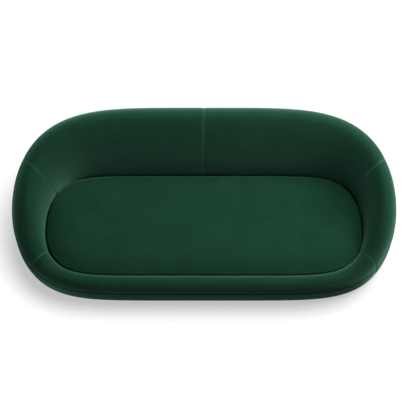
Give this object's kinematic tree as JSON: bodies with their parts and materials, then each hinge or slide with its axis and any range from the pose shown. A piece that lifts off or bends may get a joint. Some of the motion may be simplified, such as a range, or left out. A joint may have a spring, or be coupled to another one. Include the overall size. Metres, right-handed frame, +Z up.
{
  "type": "curved sofa",
  "caption": "Curved upholstered sofa: a rounded tub whose back sinks to a low front roll, with a loose crowned seat cushion.",
  "frame": {"origin": "centre of the whole sofa's box, on the floor under it", "axes": "+X to the right as seen from the front, +Y towards the back, +Z up; the front faces -Y"},
  "size_m": [2.1986, 1.0398, 0.7605],
  "materials": {
    "velvet": "short-pile velvet, dark green, soft sheen",
    "piping": "velvet-covered piping cord",
    "foam": "open-cell upholstery foam, cut faces",
    "birch_ply": "bare birch plywood",
    "bent_ply": "bare flexible plywood",
    "webbing": "woven elastic webbing",
    "strip": "pressed fibre tack strip",
    "felt": "needled felt",
    "lining": "black non-woven cloth",
    "steel": "zinc-plated",
    "foot_plastic": "black moulded plastic",
    "zip": "coil zip, dyed to match"
  },
  "bodies": {
    "sofa_body": {"base_ring": "birch_ply", "bearer_centre": "birch_ply", "bearer_left": "birch_ply", "bearer_right": "birch_ply", "cap_rail": "bent_ply", "cover_back_left": "velvet", "cover_back_right": "velvet", "cover_front_roll": "velvet", "cover_left_arm": "velvet", "cover_right_arm": "velvet", "deck_cloth": "lining", "deck_felt": "felt", "dust_cover": "lining", "foam_back": "foam", "foam_front": "foam", "foam_left": "foam", "foam_right": "foam", "foot_back_centre": "foot_plastic", "foot_back_left": "foot_plastic", "foot_back_right": "foot_plastic", "foot_front_centre": "foot_plastic", "foot_front_left": "foot_plastic", "foot_front_right": "foot_plastic", "foot_screw_back_centre": "steel", "foot_screw_back_left": "steel", "foot_screw_back_right": "steel", "foot_screw_front_centre": "steel", "foot_screw_front_left": "steel", "foot_screw_front_right": "steel", "liner_back": "bent_ply", "liner_left": "bent_ply", "liner_right": "bent_ply", "outer_skin_back": "bent_ply", "outer_skin_front": "bent_ply", "outer_skin_left": "bent_ply", "outer_skin_right": "bent_ply", "piping": "piping", "rib_arm_left": "birch_ply", "rib_arm_right": "birch_ply", "rib_back_centre": "birch_ply", "rib_back_corner_left": "birch_ply", "rib_back_corner_right": "birch_ply", "rib_back_left": "birch_ply", "rib_back_right": "birch_ply", "rib_back_seam_left": "birch_ply", "rib_back_seam_right": "birch_ply", "rib_front_centre": "birch_ply", "rib_front_corner_left": "birch_ply", "rib_front_corner_right": "birch_ply", "rib_front_left": "birch_ply", "rib_front_right": "birch_ply", "seat_ring": "birch_ply", "skirt_back": "velvet", "skirt_front": "velvet", "tack_strip": "strip", "webbing": "webbing"},
    "seat_cushion": {"seat_cushion_cover": "velvet", "seat_cushion_foam": "foam", "cushion_zip": "zip"}
  },
  "joints": [
    {"name": "cushion_lift", "type": "slide", "parent": "sofa_body", "child": "seat_cushion", "axis": [0, 0, 1], "range_m": [0, 0.5]}
  ]
}
